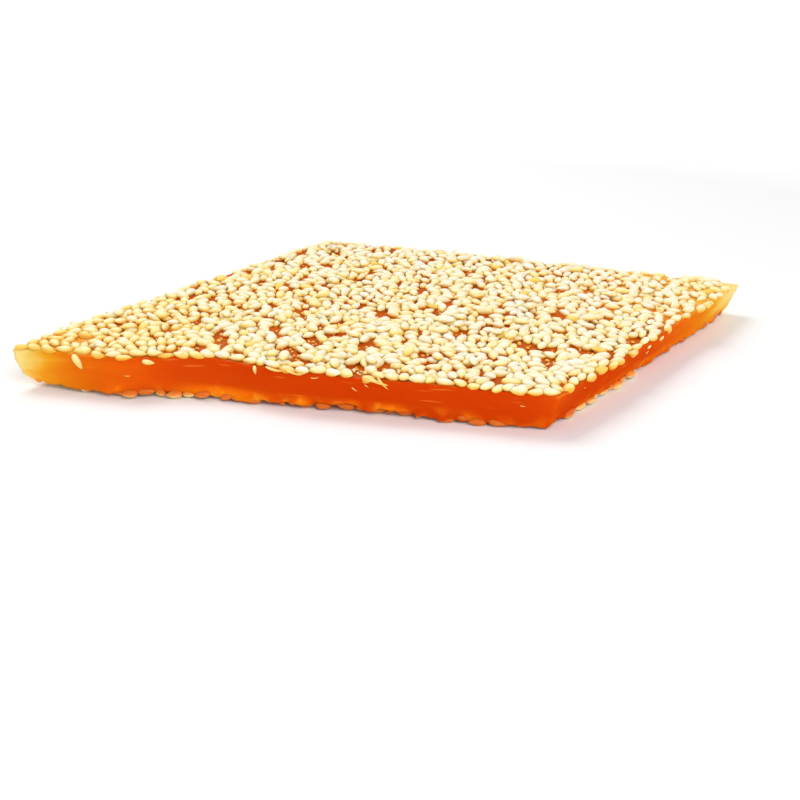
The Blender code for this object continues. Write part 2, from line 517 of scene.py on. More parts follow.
def soaked(places):
    """How soaked in candy seeds are, falling from 1 at the left tip."""
    return np.exp(-np.linalg.norm(places[:, :2] - np.array(LEFT_TIP[:]), axis=1) / SOAKED_REACH)


def top_seeds(rng):
    """The seeds of the upper coat: packed, in its corners, loose and stuck to the cut sides."""
    ring = outline(1.0)
    corner_room = tuple((x, y, CORNER_ROOM * length) for x, y, _, length, _ in CORNER_SEEDS)
    packed = pack_seeds(ring, TOP_COUNT, rng, BARE_SPOTS + corner_room, TOP_OVERHANG, TOP_PULL)
    count = len(packed["length"])
    centre = packed["centre"]
    ground = np.array([sheet_top(x, y) for x, y in centre])
    depth, _ = inside_distance(centre, ring)
    edge_row = depth < EDGE_ROW
    roll = rng.normal(0, TOP_ROLL, count)
    edgewise = rng.random(count) < EDGEWISE_SHARE
    roll[edgewise] += EDGEWISE_ROLL * rng.choice([-1, 1], edgewise.sum())
    roll[edge_row] *= EDGE_ROLL
    pitch = rng.normal(0, TOP_PITCH, count) - packed["lift"] * LIFT_PITCH
    rise = SEED_RISE + rng.normal(0, RISE_SPREAD, count) + LIFT_RISE * packed["lift"]
    rise[edgewise] += EDGEWISE_RISE
    rise -= np.where(edge_row, rng.uniform(0.0, EDGE_DROP, count), 0.0)
    soak = soaked(centre)
    tone = np.clip(rng.normal(*TOP_TONE, count) + SOAKED_TONE * soak, 0, 1)
    toasted = rng.random(count) < TOASTED_SHARE
    tone[toasted] = rng.uniform(*TOASTED_TONE, toasted.sum())
    at = np.column_stack([centre, ground + rise])
    given = dict(length=packed["length"], roll=roll, pitch=pitch, ground=ground, tone=tone, soak=soak)
    first = seed_rows(at, packed["angle"], rng, **given)
    return joined(first, corner_seeds(rng), loose_seeds(first, rng), stuck_rows(STUCK_SEEDS, rng))


# Seeds in the corners of the upper face: x, y, turn in degrees, length and tone. Packed seeds stay away
# from them by this share of their length.
CORNER_ROOM = 0.36
CORNER_SEEDS = (
    (0.0259, -0.0470, -12, 0.0034, 0.25),
    (-0.0753, -0.0260, 8, 0.0029, 0.75),
    (-0.0194, 0.0472, 20, 0.0032, 0.35),
)


def corner_seeds(rng):
    x, y, turn, length, tone = np.array(CORNER_SEEDS).T
    ground = np.array([sheet_top(*place) for place in zip(x, y)])
    at = np.column_stack([x, y, ground + SEED_RISE])
    return seed_rows(at, np.radians(turn), rng, length=length, ground=ground, tone=tone, thick=SEED_THICKNESS)


LOOSE_COUNT = 70
LOOSE_RISE = 0.00092
LOOSE_ROLL = radians(9)
LOOSE_PITCH = radians(7)
LOOSE_TONE = (0.22, 0.10)
# How far inside the edge they lie, and how far below the piece's greatest height.
LOOSE_INSET = 0.0022
LOOSE_ROOM = 0.00075
# Their sides get painted golden shade as if the candy began this far under their middles.
LOOSE_GROUND = 0.00042


def loose_seeds(under, rng):
    """Seeds over the first layer, each between two neighbours there."""
    depth, _ = inside_distance(under["at"][:, :2], outline(1.0))
    free = np.flatnonzero(depth > LOOSE_INSET)
    below = rng.choice(free, LOOSE_COUNT, replace=False)
    tree = seed_tree(under)
    beside = [tree.find_n((x, y, 0.0), 2)[1][1] for x, y in under["at"][below, :2]]
    at = (under["at"][below] + under["at"][beside]) / 2
    at[:, 2] = np.minimum(at[:, 2] + LOOSE_RISE, HIGHEST - LOOSE_ROOM)
    return seed_rows(
        at, rng.uniform(0, 2 * pi, LOOSE_COUNT), rng,
        roll=rng.normal(0, LOOSE_ROLL, LOOSE_COUNT),
        pitch=rng.normal(0, LOOSE_PITCH, LOOSE_COUNT),
        ground=at[:, 2] - LOOSE_GROUND,
        tone=np.clip(rng.normal(*LOOSE_TONE, LOOSE_COUNT) + SOAKED_TONE * soaked(at), 0, 1),
    )


# Seeds of the under coat this near to the cut are coated in candy, apart from clear stretches of the edge:
# x, y, reach, how clear of candy they are, how far they stand out, and how much shallower the lip is.
COATED_DEPTH = 0.0032
COATED_TONE = 0.90
INNER_TONE = 0.40
CLEAR_TONE = -0.15
CLEAR_PLACES = (
    (-0.0774, -0.0262, 0.0260, 1.0, -0.0004, 0.0),
    (-0.0466, -0.0335, 0.0140, 0.55, 0.0005, 0.85),
    (0.0404, -0.0314, 0.0210, 0.85, 0.0005, 0.85),
)
# How much less of the film and its painted warm shade they wear, and how much higher it starts.
CLEAR_SOAK = -1.2
CLEAR_FILM = 0.0006
# How far seeds lie back where the lip ends highest.
RISE_BACK = 0.0005
# How much seeds near the cut differ in height, and are turned more.
RIM_RISE = 0.0004
RIM_TURN = 4.0
BOTTOM_OVERHANG = (-0.0004, 0.0010)
BOTTOM_PULL = 0.12
BOTTOM_ROLL = radians(6)
BOTTOM_PITCH = radians(1.5)
BOTTOM_SPREAD = 0.00003
BOTTOM_TONE_SPREAD = 0.17
# The bare place under the left tip: its way from the tip, and its radius.
BARE_TIP = (0.0030, 0.0008, 0.0022)


def front_share(places):
    """How far along the front places lie, from 0 at the left tip to 1 at the front corner."""
    front = np.array((FRONT_CORNER - LEFT_TIP)[:])
    return (places[:, :2] - np.array(LEFT_TIP[:])) @ front / (front @ front)


def clear_of_candy(places):
    """How clear of candy the under coat is at places, how far it stands out, and how shallow the lip is."""
    share, out, shallow = np.zeros((3, len(places)))
    for x, y, reach, most, stands_out, less in CLEAR_PLACES:
        distance = np.hypot(places[:, 0] - x, places[:, 1] - y)
        here = np.clip(2 - 2 * distance / reach, 0, 1)
        share = np.maximum(share, most * here)
        out += stands_out * here
        shallow += less * here
    return share, out, shallow


def front_rise(places):
    """How much higher the candy's lip ends at places near the front."""
    inward = (places[:, :2] - np.array(LEFT_TIP[:])) @ -np.array(NORMALS["front"][:])
    return np.interp(front_share(places), *zip(*FRONT_RISE)) * (inward < FRONT_RISE_DEPTH)


def bottom_seeds(rng):
    """The seeds of the under coat."""
    ring = outline(0.0)
    tip = (LEFT_TIP[0] + BARE_TIP[0], LEFT_TIP[1] + BARE_TIP[1], BARE_TIP[2])
    packed = pack_seeds(ring, BOTTOM_COUNT, rng, (tip,), BOTTOM_OVERHANG, BOTTOM_PULL)
    count = len(packed["length"])
    centre = packed["centre"]
    lift = np.array([tip_lift(x, y) for x, y in centre])
    depth, inward = inside_distance(centre, ring)
    clear, out, _ = clear_of_candy(centre)
    rim = depth < COATED_DEPTH
    tone = np.where(rim, COATED_TONE + (CLEAR_TONE - COATED_TONE) * clear, INNER_TONE)
    back = RISE_BACK * front_rise(centre) / max(height for _, height in FRONT_RISE)
    centre = centre + inward * (rim * (back - out))[:, None]
    turn = np.where(rim, RIM_TURN, 1.0)
    rise = BOTTOM_RISE + lift + rng.normal(0, BOTTOM_SPREAD, count) + rim * rng.uniform(0, RIM_RISE, count)
    return seed_rows(
        np.column_stack([centre, rise]), packed["angle"], rng,
        length=packed["length"], facing=-1.0, soak=CLEAR_SOAK * clear,
        roll=pi + turn * rng.normal(0, BOTTOM_ROLL, count),
        pitch=turn * rng.normal(0, BOTTOM_PITCH, count),
        ground=SHEET_FOOT + lift + CLEAR_FILM * clear,
        tone=np.clip(tone + rng.normal(0, BOTTOM_TONE_SPREAD, count), 0, 1),
    )


# ---- bits on the cut sides and on the seeds

# Seeds stuck to each cut side: share along it, share of the height, tilt and length.
STUCK_SEEDS = {
    "front": ((0.130, 0.80, 60, 0.0036), (0.262, 0.89, 4, 0.0027), (0.461, 0.90, 84, 0.0018)),
    "right": ((0.345, 0.95, -6, 0.0027), (0.435, 0.82, -8, 0.0016), (0.497, 0.88, -12, 0.0019)),
    "back": ((0.31, 0.90, 30, 0.0031), (0.74, 0.55, 75, 0.0029)),
    "left": ((0.22, 0.93, -8, 0.0030), (0.63, 0.72, 40, 0.0032)),
}
# Bits of hull on them.
STUCK_FLAKES = {
    "front": (
        (0.500, 0.995, 10, 0.0036), (0.537, 0.975, 16, 0.0030), (0.550, 0.985, -8, 0.0022),
        (0.576, 0.90, -10, 0.0016), (0.648, 0.66, 35, 0.0013), (0.669, 0.80, 30, 0.0010),
        (0.688, 0.95, 18, 0.0042), (0.696, 0.92, 48, 0.0030), (0.679, 0.97, 5, 0.0026),
        (0.945, 0.62, 4, 0.0010), (0.225, 0.52, -4, 0.0012),
    ),
    "right": ((0.44, 0.58, -10, 0.0013), (0.12, 0.75, 20, 0.0009)),
    "back": ((0.18, 0.62, 15, 0.0014), (0.55, 0.80, -50, 0.0020)),
    "left": ((0.41, 0.60, 25, 0.0016), (0.80, 0.85, -30, 0.0013)),
}
# Where each side begins and ends in the sheet's (u, v).
SIDE_ENDS = side_ends(((0.0, 0.0), (1.0, 0.0), (1.0, 1.0), (0.0, 1.0)))
# How far stuck bits lie outside the cut, and what stuck seeds are like.
STUCK_GAP = 0.00012
STUCK_SHAPE = dict(width=0.40, thick=0.36, tone=0.45)


def stuck_rows(bits, rng, **given):
    """Rows for bits that lie flat against the cut sides."""
    at, angle, pitch, length = [], [], [], []
    for side, (along, height, tilt, size) in [(side, bit) for side in bits for bit in bits[side]]:
        start, end = (Vector(e) for e in SIDE_ENDS[side])
        u, v = start.lerp(end, along)
        normal = NORMALS[side]
        place = plan_point(u, v, height) + normal * STUCK_GAP
        at.append((place.x, place.y, SHEET_FOOT + (sheet_top(place.x, place.y) - SHEET_FOOT) * height))
        angle.append(np.arctan2(normal.x, -normal.y))
        pitch.append(radians(tilt))
        length.append(size)
    rows = dict(roll=pi / 2, pitch=pitch, length=length, **STUCK_SHAPE)
    return seed_rows(np.array(at), np.array(angle), rng, **{**rows, **given})


FLAKE_COUNT = 70
FLAKE_RISE = 0.00055
LOOSE_FLAKE = dict(width=0.30, thick=0.045, bend=0.45)
# On the cut sides they stand off a little and face up.
STUCK_FLAKE = dict(width=0.15, thick=0.09, bend=0.30, roll=radians(50), tone=0.5)
CRUMB_COUNT = 150
CRUMB_RISE = 0.00050
# How high over bare candy crumbs lie, and how far below them the candy is taken to begin for their film and
# painted shade.
CRUMB_HEIGHTS = (0.00002, 0.00016)
CRUMB_GROUND = 0.00028
# How far bits lie from their seed's middle, and from the piece's greatest height.
BIT_SCATTER = 0.0005
BIT_ROOM = 0.0002
# Bits in each bare spot, how many radii they reach, and places where more of them lie.
SPOT_BITS = 3
SPOT_REACH = 1.3
CLUSTER_SPREAD = 0.0012
BIT_CLUSTERS = (
    ((0.0251, -0.0410), 12),
    ((-0.0095, -0.0372), 8),
    ((-0.0232, -0.0268), 7),
    ((-0.0560, -0.0250), 6),
)


def lying_on(seeds, count, rise, rng):
    """Places on the seeds of the upper face, but not on those stuck to the cut sides."""
    stuck = sum(len(bits) for bits in STUCK_SEEDS.values())
    on = rng.choice(len(seeds["length"]) - stuck, count, replace=False)
    at = seeds["at"][on].copy()
    at[:, :2] += rng.normal(0, BIT_SCATTER, (count, 2))
    at[:, 2] = np.minimum(at[:, 2] + rise, HIGHEST - BIT_ROOM)
    return at


def hull_flakes(seeds, rng):
    """Thin curled bits of hull, on the seeds and on the cut sides."""
    loose = seed_rows(
        lying_on(seeds, FLAKE_COUNT, FLAKE_RISE, rng), rng.uniform(0, 2 * pi, FLAKE_COUNT), rng,
        length=rng.uniform(0.0009, 0.0024, FLAKE_COUNT),
        roll=rng.normal(0, radians(30), FLAKE_COUNT),
        pitch=rng.normal(0, radians(12), FLAKE_COUNT),
        tone=rng.uniform(0.1, 0.6, FLAKE_COUNT),
        **LOOSE_FLAKE,
    )
    return joined(loose, stuck_rows(STUCK_FLAKES, rng, **STUCK_FLAKE))


def spot_places(rng):
    """Places in the bare spots of the upper face, and where bits have gathered."""
    places = []
    for x, y, radius in BARE_SPOTS[:-1]:
        for _ in range(SPOT_BITS):
            turn, out = rng.uniform(0, 2 * pi), radius * rng.uniform(0, SPOT_REACH)
            places.append((x + out * np.cos(turn), y + out * np.sin(turn)))
    for (x, y), count in BIT_CLUSTERS:
        for _ in range(count):
            places.append((x + rng.normal(0, CLUSTER_SPREAD), y + rng.normal(0, CLUSTER_SPREAD)))
    return np.array([(x, y, sheet_top(x, y)) for x, y in places])


def sesame_crumbs(seeds, rng):
    """Small broken bits of seed, on the seeds and in the bare spots."""
    sunk = spot_places(rng)
    sunk[:, 2] += rng.uniform(*CRUMB_HEIGHTS, len(sunk))
    at = np.concatenate([lying_on(seeds, CRUMB_COUNT, CRUMB_RISE, rng), sunk])
    count = len(at)
    ground = np.where(np.arange(count) < CRUMB_COUNT, -1.0, at[:, 2] - CRUMB_GROUND)
    return seed_rows(
        at, rng.uniform(0, 2 * pi, count), rng,
        length=rng.uniform(0.0004, 0.0011, count),
        width=rng.uniform(0.5, 0.9, count),
        thick=rng.uniform(0.4, 0.8, count),
        roll=rng.uniform(0, 2 * pi, count),
        tone=rng.uniform(0.1, 0.7, count), ground=ground,
    )


# ---- the amber sheet


def side_of(u, v):
    """The outward normal of the side that a rim point lies on, or of both at a corner."""
    normal = Vector((0.0, 0.0))
    for name, on in (("front", v == 0), ("back", v == 1), ("left", u == 0), ("right", u == 1)):
        if on:
            normal += NORMALS[name]
    return normal.normalized() if normal.length else None


def sheet_levels():
    """Shares of the height for the side's levels, closer together near foot and head."""
    cosine = np.cos(pi * np.linspace(0, 1, SIDE_LEVELS))
    return 0.5 - 0.5 * cosine * (LEVEL_SPREAD[0] + LEVEL_SPREAD[1] * np.abs(cosine))


def sheet_foot(x, y, edge):
    """The height of the candy's under face. edge is 1 along the rim, where the lip hangs lower."""
    uneven = ripple(x, y, 0.001, LIP_LENGTH)
    uneven += FINE_LIP["share"] * noise.noise(Vector((x, y, 0.02)) / LIP_LENGTH * FINE_LIP["scale"])
    place = np.array([[x, y]])
    shallow = float(clear_of_candy(place)[2][0])
    drop = LIP_DROP * (LIP_UNEVEN[0] + LIP_UNEVEN[1] * uneven) * (1 - shallow)
    uneven = ripple(x, y, 0.04, RISE_LENGTH)
    drop -= float(front_rise(place)[0]) * (RISE_UNEVEN[0] + RISE_UNEVEN[1] * uneven)
    drop += FRONT_DROP * exp(-(Vector((x, y)) - FRONT_CORNER).length / FRONT_DROP_REACH)
    drop += TIP_NOTCH * near_tips(x, y) * ripple(x, y, 0.06, TIP_RAG_LENGTH)
    return max(LOWEST, SHEET_FOOT + tip_lift(x, y) - drop * edge)


def near_tips(x, y):
    """1 at the two pointed tips, falling to 0 away from them."""
    distance = min((Vector((x, y)) - tip).length for tip in (LEFT_TIP, RIGHT_TIP))
    return exp(-((distance / TIP_RAG_REACH) ** 2))


def sheet_point(u, v, w):
    """A point of the amber sheet's surface."""
    x, y = plan_point(u, v, w)
    top = sheet_top(x, y)
    inside = min(min(u, 1 - u) * SHEET_SPAN[0], min(v, 1 - v) * SHEET_SPAN[1])
    foot = sheet_foot(x, y, exp(-((inside / LIP_WIDTH) ** 2)))
    z = foot + (top - foot) * w
    normal = side_of(u, v)
    if normal is None:
        return x, y, z
    streak = Vector((x / FACE_RELIEF_LENGTH, y / FACE_RELIEF_LENGTH, z / FACE_RELIEF_HEIGHT))
    relief = FACE_RELIEF * noise.noise(streak)
    relief += LOBE_DEPTH * ripple(x, y, LOBE_STRETCH * z, LIP_LENGTH) * max(0.0, 1.0 - LOBE_FADE * w)
    relief += TIP_RAG * near_tips(x, y) * ripple(x, y, z, TIP_RAG_LENGTH)
    head = max(0.0, (z - top + EDGE_ROUND) / EDGE_ROUND)
    under = max(0.0, (foot + EDGE_ROUND - z) / EDGE_ROUND)
    rounding = EDGE_ROUND * (1 - (1 - min(1.0, max(head, under)) ** 2) ** 0.5)
    x += normal.x * (relief - rounding)
    y += normal.y * (relief - rounding)
    return x, y, z


def amber_sheet(top, bottom):
    """The sheet as a closed block of cells: two caps and the cut sides between them."""
    nu, nv = SHEET_CELLS
    levels = sheet_levels()
    index, points, normals = {}, [], []

    def number(i, j, k):
        if (i, j, k) not in index:
            index[i, j, k] = len(points)
            points.append(sheet_point(i / nu, j / nv, float(levels[k])))
            normals.append(side_of(i / nu, j / nv))
        return index[i, j, k]

    last = SIDE_LEVELS - 1
    faces = []
    for i in range(nu):
        for j in range(nv):
            for k, way in ((last, 1), (0, -1)):
                cell = [number(i, j, k), number(i + 1, j, k), number(i + 1, j + 1, k), number(i, j + 1, k)]
                faces.append(cell[::way])
    caps = len(faces)
    rim = [(i, 0) for i in range(nu)] + [(nu, j) for j in range(nv)]
    rim += [(i, nv) for i in range(nu, 0, -1)] + [(0, j) for j in range(nv, 0, -1)]
    for (i, j), (m, n) in zip(rim, rim[1:] + rim[:1]):
        for k in range(last):
            faces.append([number(i, j, k), number(m, n, k), number(m, n, k + 1), number(i, j, k + 1)])
    points = np.array(points)
    raise_between(points, top)
    wrap_foot(points, normals, bottom)
    return mesh_piece("amber_candy_sheet", points, [np.array(faces)], sheet_tones(points)), caps


def seed_tree(seeds):
    tree = kdtree.KDTree(len(seeds["at"]))
    for k, at in enumerate(seeds["at"]):
        tree.insert((at[0], at[1], 0.0), k)
    tree.balance()
    return tree


def seed_frame(seeds, k, way):
    """A way in plan in a seed's own measures: along it and across it, 1 at its outline."""
    c, s = np.cos(seeds["angle"][k]), np.sin(seeds["angle"][k])
    half = seeds["length"][k] / 2
    along = (way[0] * c + way[1] * s) / half
    across = (way[1] * c - way[0] * s) / (half * seeds["width"][k])
    return np.array([along, across])


def raise_between(points, seeds):
    """Lifts the upper face where it meets the seeds sunk in it."""
    tree = seed_tree(seeds)
    for point in points:
        if point[2] < sheet_top(point[0], point[1]) - SAME_HEIGHT:
            continue
        _, k, _ = tree.find((point[0], point[1], 0.0))
        reach = np.linalg.norm(seed_frame(seeds, k, point[:2] - seeds["at"][k][:2]))
        point[2] += MENISCUS * exp(-(((reach - 1.0) / MENISCUS_WIDTH) ** 2)) - MENISCUS_SINK * MENISCUS


def wrap_foot(points, normals, seeds):
    """Draws the foot of the cut sides out round the seeds of the bottom coat."""
    tree = seed_tree(seeds)
    highest = seeds["at"][:, 2].mean() + WRAP_HEIGHT
    wrapped = 1 - clear_of_candy(points)[2]
    for point, normal, share in zip(points, normals, wrapped):
        if normal is None or point[2] > highest:
            continue
        way = np.array(normal[:])
        out = 0.0
        for _, k, _ in tree.find_range((point[0], point[1], 0.0), WRAP_REACH):
            here = seed_frame(seeds, k, point[:2] - seeds["at"][k][:2])
            step = seed_frame(seeds, k, way)
            rise = (point[2] - seeds["at"][k][2]) / (seeds["length"][k] / 2 * seeds["thick"][k])
            a, b, c = step @ step, here @ step, here @ here - WRAP**2 + rise**2
            if b * b > a * c:
                root = (b * b - a * c) ** 0.5
                if (-b - root) / a < WRAP_GAP:
                    out = max(out, (-b + root) / a)
        uneven = ripple(point[0], point[1], 0.5, WRAP_LENGTH)
        fade = min(1.0, (highest - point[2]) / WRAP_FADE)
        fade *= min(1.0, max(0.0, 0.5 + WRAP_CONTRAST * uneven))
        point[:2] += way * min(out, WRAP_MOST) * fade * share


# Where the candy is thin in plan, and gets a painted yellow glow as if lit through: corner, reach, how
# steeply it thickens, and how thin it is.
THIN_GLOW_PLACES = (
    (LEFT_TIP, 0.0120, 1.0, 1.0),
    (RIGHT_TIP, 0.0210, 1.3, 1.0),
    (FRONT_CORNER, 0.0040, 1.0, 0.10),
    (BACK_CORNER, 0.0050, 1.0, 0.15),
)
# Where the front's foot gets the most painted glow, as if it let light through: share along it, and reach.
PAINTED_GLOW_PLACES = ((0.395, 0.085), (0.549, 0.014), (0.639, 0.014), (0.705, 0.026))
# Shares of the height at which the painted glow of the lit foot ends, and over which it fades.
LIP_HEAD = 0.36
LIP_FADE = 0.22


def sheet_tones(points):
    """How thin the candy looks, for a painted glow through thin candy, how near to its foot points lie, and
    how much painted glow the lit foot gets.
    """
    tips = np.zeros(len(points))
    for tip, reach, power, strength in THIN_GLOW_PLACES:
        distance = np.linalg.norm(points[:, :2] - np.array(tip[:]), axis=1)
        tips = np.maximum(tips, strength * np.exp(-((distance / reach) ** power)))
    height = (points[:, 2] - SHEET_FOOT) / (SHEET_TOP - SHEET_FOOT)
    share = front_share(points)
    lit = np.zeros(len(points))
    for place, reach in PAINTED_GLOW_PLACES:
        lit = np.maximum(lit, np.exp(-(((share - place) / reach) ** 2)))
    return {"thin": tips, "lip": np.clip((LIP_HEAD - height) / LIP_FADE, 0, 1), "lit": lit}


# ---- materials


# Parts of noises that show: patches of painted glow and painted highlight spots in the lit foot, and
# scratches that are also painted glints.
GLOW_PATCHES = ((0.42, (0,) * 3), (0.60, (0.45,) * 3))
GLOW_SPOTS = ((0.52, (0,) * 3), (0.66, (1,) * 3))
SCRATCH_AND_GLINT = ((0.67, (0,) * 3), (0.74, (0.28,) * 3))
# Painted light colours: the glow of the lit foot, its highlight spots, and the scratches that also serve as
# glints.
LIT_AMBER = (1.0, 0.215, 0.004)
GLOW_SPOT_AMBER = (1.0, 0.38, 0.02)
SCRATCH_AND_GLINT_AMBER = (1.0, 0.34, 0.05)
# Stretches of the noises that run along the cut.
STREAK_STRETCH = (1, 1, 6)
SCRATCH_AND_GLINT_STRETCH = (0.25, 0.25, 3)
# How much streaks change how thin the candy looks, and so its painted glow: where thin, and everywhere.
STREAK_SWING = (0.9, 0.05)
# Colours by how thin the candy is, on its cut sides and on its upper face: deep orange where thick, paler and
# yellower where thin as a painted glow of light through it.
CUT_AMBER = (
    (0.00, (0.62, 0.047, 0.001)), (0.06, (0.67, 0.066, 0.002)),
    (0.12, (0.74, 0.097, 0.0025)), (0.24, (0.77, 0.143, 0.0035)),
    (0.42, (0.80, 0.222, 0.006)), (0.61, (0.83, 0.36, 0.015)),
    (0.80, (0.88, 0.57, 0.11)), (1.00, (0.90, 0.68, 0.24)),
)
TOP_AMBER = (
    (0.00, (0.53, 0.084, 0.002)), (0.06, (0.58, 0.106, 0.003)),
    (0.12, (0.70, 0.180, 0.010)), (0.24, (0.84, 0.290, 0.025)),
    (0.42, (0.92, 0.420, 0.050)), (1.00, (0.94, 0.680, 0.200)),
)
# Colours of seeds by tone, from pale to toasted.
CREAM = (
    (0.0, (0.87, 0.845, 0.76)), (0.30, (0.87, 0.815, 0.645)),
    (0.65, (0.91, 0.77, 0.33)), (1.0, (0.86, 0.59, 0.12)),
)
# How much more golden a seed is: low on its sides as painted shade, and at its ends and in its mottles.
SIDE_SHADE_TONE = 0.56
TIP_TONE = 0.22
TIP_POWER = 4.0
MOTTLE = 0.30
FILM_UNEVEN = 0.8
# Film colours where pale seeds meet the candy: partly the candy film, partly painted warm shade.
CREAM_FILM_AND_SHADE = ((0.0, (0.87, 0.50, 0.06)), (1.0, (0.85, 0.42, 0.03)))
GLAZED = ((0.0, (0.95, 0.80, 0.48)), (0.5, (0.94, 0.62, 0.24)), (1.0, (0.74, 0.18, 0.015)))
# Film colours where coated seeds meet the candy: partly the candy film, partly painted warm shade.
GLAZED_FILM_AND_SHADE = ((0.0, (0.92, 0.58, 0.16)), (0.6, (0.84, 0.27, 0.025)), (1.0, (0.70, 0.15, 0.010)))
# Where a noise begins and ends to change the roughness.
ROUGH_STOPS = (0.3, 0.7)


class Tree:
    """The nodes of a material or a world, with short calls to add and link them."""

    def __init__(self, owner, shader="Principled BSDF"):
        self.owner = owner
        owner.use_nodes = True
        self.nodes = owner.node_tree.nodes
        self.links = owner.node_tree.links
        self.shader = self.nodes[shader]

    def add(self, kind, **settings):
        node = self.nodes.new(kind)
        for key, value in settings.items():
            setattr(node, key, value)
        return node

    def link(self, source, target):
        self.links.new(source, target)

    def attribute(self, name):
        return self.add("ShaderNodeAttribute", attribute_name=name).outputs["Fac"]

    def feed(self, socket, value):
        """Sets a socket to a number or a colour, or links it."""
        if isinstance(value, (int, float)):
            socket.default_value = value
        elif isinstance(value, tuple):
            socket.default_value = (*value, 1.0)
        else:
            self.link(value, socket)

    def math(self, operation, *values, clamp=False):
        node = self.add("ShaderNodeMath", operation=operation, use_clamp=clamp)
        for socket, value in zip(node.inputs, values):
            self.feed(socket, value)
        return node.outputs[0]

    def noise(self, scale, detail=2, stretch=(1, 1, 1)):
        place = self.add("ShaderNodeTexCoord").outputs["Object"]
        if stretch != (1, 1, 1):
            mapping = self.add("ShaderNodeMapping")
            mapping.inputs["Scale"].default_value = stretch
            self.link(place, mapping.inputs["Vector"])
            place = mapping.outputs["Vector"]
        node = self.add("ShaderNodeTexNoise")
        node.inputs["Scale"].default_value = scale
        node.inputs["Detail"].default_value = detail
        self.link(place, node.inputs["Vector"])
        return node.outputs["Fac"]

    def ramp(self, value, stops):
        node = self.add("ShaderNodeValToRGB")
        elements = node.color_ramp.elements
        while len(elements) < len(stops):
            elements.new(0.5)
        for element, (place, colour) in zip(elements, stops):
            element.position = place
            element.color = (*colour, 1.0)
        self.link(value, node.inputs["Fac"])
        return node.outputs["Color"]

    def mix(self, factor, a, b):
        node = self.add("ShaderNodeMix", data_type="RGBA")
        for key, value in (("Factor", factor), ("A", a), ("B", b)):
            self.feed(node.inputs[key], value)
        return node.outputs["Result"]

    def centred(self, value):
        """A noise moved to swing about 0."""
        return self.math("SUBTRACT", value, 0.5)

    def roughness(self, value, low, high):
        """Lets a noise set the roughness, from low to high."""
        stops = ((ROUGH_STOPS[0], (low,) * 3), (ROUGH_STOPS[1], (high,) * 3))
        self.link(self.ramp(value, stops), self.shader.inputs["Roughness"])

    def bump(self, height, distance, strength):
        node = self.add("ShaderNodeBump")
        node.inputs["Distance"].default_value = distance
        node.inputs["Strength"].default_value = strength
        self.link(height, node.inputs["Height"])
        self.link(node.outputs["Normal"], self.shader.inputs["Normal"])

    def set(self, **values):
        for key, value in values.items():
            self.shader.inputs[key.replace("_", " ")].default_value = value


def amber_material(name, cut):
    """Clear amber candy: deep orange where thick, a painted yellow glow where thin as if lit through, and on
    the cut sides a painted glow along the foot. cut is True for its cut sides.
    """
    tree = Tree(bpy.data.materials.new(name))
    # thin drives a painted yellow glow, as if light shone through the thin candy.
    thin = tree.attribute("thin")
    streaks = tree.centred(tree.noise(60, 3, STREAK_STRETCH))
    swing = tree.math("MULTIPLY_ADD", thin, *STREAK_SWING)
    thin = tree.math("MULTIPLY_ADD", streaks, swing, thin)
    if cut:
        body = tree.ramp(thin, CUT_AMBER)
        # Painted glow and painted highlight spots along the lit foot of the cut sides.
        lit = tree.math("MAXIMUM", tree.attribute("lit"), tree.ramp(tree.noise(150), GLOW_PATCHES))
        glow = tree.math("MULTIPLY", tree.attribute("lip"), lit, clamp=True)
        body = tree.mix(glow, body, LIT_AMBER)
        spots = tree.math("MULTIPLY", glow, tree.ramp(tree.noise(420), GLOW_SPOTS), clamp=True)
        body = tree.mix(spots, body, GLOW_SPOT_AMBER)
        # Pale scratches, which also stand in for painted glints on the cut sides.
        body = tree.mix(tree.ramp(tree.noise(460, 1, SCRATCH_AND_GLINT_STRETCH), SCRATCH_AND_GLINT), body, SCRATCH_AND_GLINT_AMBER)
    else:
        body = tree.ramp(thin, TOP_AMBER)
    tree.link(body, tree.shader.inputs["Base Color"])
    tree.set(
        Subsurface_Weight=0.35, Subsurface_Radius=(1.0, 0.25, 0.05), Subsurface_Scale=0.003,
        IOR=1.45, Specular_IOR_Level=0.0 if cut else 0.09,
        Coat_Weight=0.02 if cut else 0.0, Coat_Roughness=0.10,
    )
    tree.roughness(tree.noise(260, 3), 0.18, 0.32)
    grain = tree.noise(220, 3, (1, 1, 3)) if cut else tree.noise(900, 3)
    tree.bump(grain, distance=0.00006, strength=0.5)
    return tree.owner


